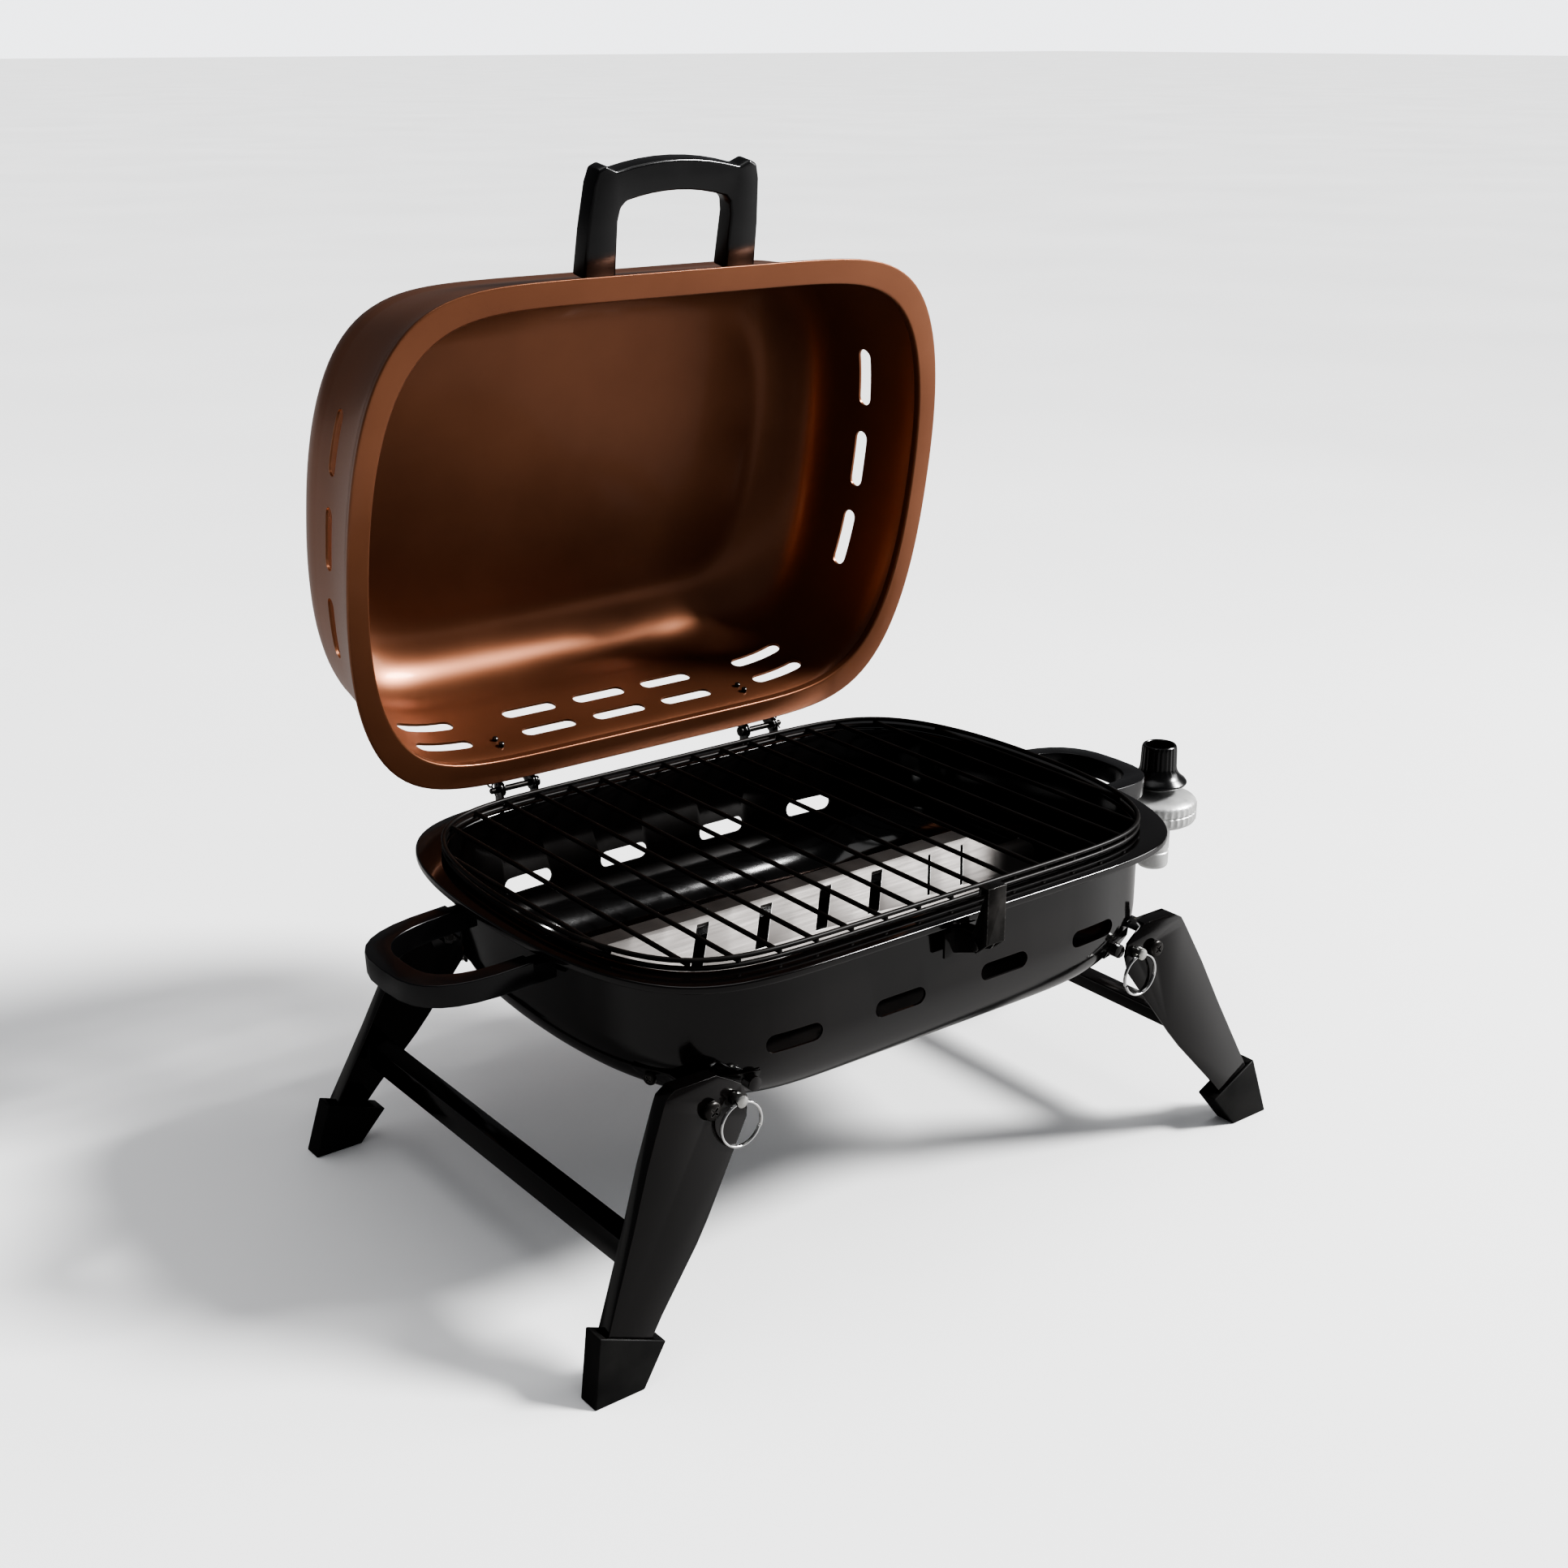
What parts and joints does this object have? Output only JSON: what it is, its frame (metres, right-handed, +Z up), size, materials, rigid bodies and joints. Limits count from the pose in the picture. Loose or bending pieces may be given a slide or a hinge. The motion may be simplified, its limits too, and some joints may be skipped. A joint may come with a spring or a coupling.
{
  "type": "portable tabletop gas grill",
  "caption": "Tabletop gas grill with a domed brown lid on two pin hinges, a wire grate, black side handles, folding splayed legs with lock pins and a regulator.",
  "frame": {"origin": "on the table, under the middle of the part's bounding box, with the legs unfolded and the lid open", "axes": "+X towards the regulator, -Y towards the front latch, +Z up; the lid's hinges are at +Y and the lid is open"},
  "size_m": [0.6604, 0.4753, 0.6225],
  "materials": {
    "black_enamel": "glossy porcelain enamel, near black with a warm sheen",
    "brown_enamel": "glossy copper-brown enamel outside and inside",
    "black_plastic": "satin moulded heat-resistant plastic",
    "rubber": "matt black rubber",
    "grate_enamel": "satin black enamelled wire",
    "black_steel": "black-plated steel, satin, bright where the plating is worn",
    "steel_wire": "bright plated wire",
    "stainless_sheet": "thin stainless sheet",
    "zinc_hardware": "zinc-plated fasteners",
    "cast_zinc": "pale grey die casting, satin",
    "brass": "turned brass"
  },
  "bodies": {
    "base": {"bowl": "black_enamel", "heat_tent": "stainless_sheet", "burner_tube": "stainless_sheet", "side_handle_left": "black_plastic", "side_handle_right": "black_plastic", "latch_bracket": "black_enamel", "latch_pin": "black_steel", "regulator_body": "cast_zinc", "regulator_outlet": "brass", "leg_bracket_front_left": "black_enamel", "leg_bracket_back_left": "black_enamel", "leg_bracket_front_right": "black_enamel", "leg_bracket_back_right": "black_enamel", "bracket_screw_front_left": "black_steel", "bracket_screw_back_left": "black_steel", "bracket_screw_front_right": "black_steel", "bracket_screw_back_right": "black_steel", "pivot_bolt_front_left": "black_steel", "pivot_bolt_back_left": "black_steel", "pivot_bolt_front_right": "black_steel", "pivot_bolt_back_right": "black_steel", "hinge_bracket_left": "black_enamel", "hinge_bracket_right": "black_enamel", "hinge_pin_left": "black_steel", "hinge_pin_right": "black_steel", "hinge_clip_left": "black_steel", "hinge_clip_right": "black_steel"},
    "lid_assembly": {"lid": "brown_enamel", "lid_handle": "black_plastic", "hinge_leaf_left": "black_enamel", "hinge_leaf_right": "black_enamel", "hinge_screw_left_lower": "black_steel", "hinge_screw_left_upper": "black_steel", "hinge_screw_right_lower": "black_steel", "hinge_screw_right_upper": "black_steel"},
    "grate": {"cooking_grate": "grate_enamel"},
    "latch": {"latch_lever": "black_steel"},
    "knob": {"regulator_knob": "black_plastic"},
    "leg_frame_left": {"leg_front_left": "black_enamel", "leg_back_left": "black_enamel", "foot_front_left": "rubber", "foot_back_left": "rubber", "crossbar_left": "black_enamel"},
    "lock_front_left": {"lock_pin_front_left": "zinc_hardware", "pull_ring_front_left": "steel_wire"},
    "lock_back_left": {"lock_pin_back_left": "zinc_hardware", "pull_ring_back_left": "steel_wire"},
    "leg_frame_right": {"leg_front_right": "black_enamel", "leg_back_right": "black_enamel", "foot_front_right": "rubber", "foot_back_right": "rubber", "crossbar_right": "black_enamel"},
    "lock_front_right": {"lock_pin_front_right": "zinc_hardware", "pull_ring_front_right": "steel_wire"},
    "lock_back_right": {"lock_pin_back_right": "zinc_hardware", "pull_ring_back_right": "steel_wire"}
  },
  "joints": [
    {"name": "lid_hinge", "type": "hinge", "parent": "base", "child": "lid_assembly", "pos_m": [-0.0373, 0.1232, 0.218], "axis": [1, 0, 0], "range_deg": [0, 79.5]},
    {"name": "leg_fold_left", "type": "hinge", "parent": "base", "child": "leg_frame_left", "pos_m": [-0.2128, -0.051, 0.1392], "axis": [0, -1, 0], "range_deg": [0, 100]},
    {"name": "leg_fold_right", "type": "hinge", "parent": "base", "child": "leg_frame_right", "pos_m": [0.1382, -0.051, 0.1392], "axis": [0, 1, 0], "range_deg": [0, 100]},
    {"name": "lock_pull_front_left", "type": "slide", "parent": "leg_frame_left", "child": "lock_front_left", "axis": [0, -1, 0], "range_m": [0, 0.006]},
    {"name": "lock_pull_back_left", "type": "slide", "parent": "leg_frame_left", "child": "lock_back_left", "axis": [0, 1, 0], "range_m": [0, 0.006]},
    {"name": "lock_pull_front_right", "type": "slide", "parent": "leg_frame_right", "child": "lock_front_right", "axis": [0, -1, 0], "range_m": [0, 0.006]},
    {"name": "lock_pull_back_right", "type": "slide", "parent": "leg_frame_right", "child": "lock_back_right", "axis": [0, 1, 0], "range_m": [0, 0.006]},
    {"name": "latch_swing", "type": "hinge", "parent": "base", "child": "latch", "pos_m": [-0.0373, -0.2285, 0.2], "axis": [1, 0, 0], "range_deg": [0, 80]},
    {"name": "knob_turn", "type": "hinge", "parent": "base", "child": "knob", "pos_m": [0.3007, -0.051, 0.19], "axis": [0, 0, 1], "range_deg": [0, 270]},
    {"name": "grate_lift", "type": "slide", "parent": "base", "child": "grate", "axis": [0, 0, 1], "range_m": [0, 0.03]}
  ]
}
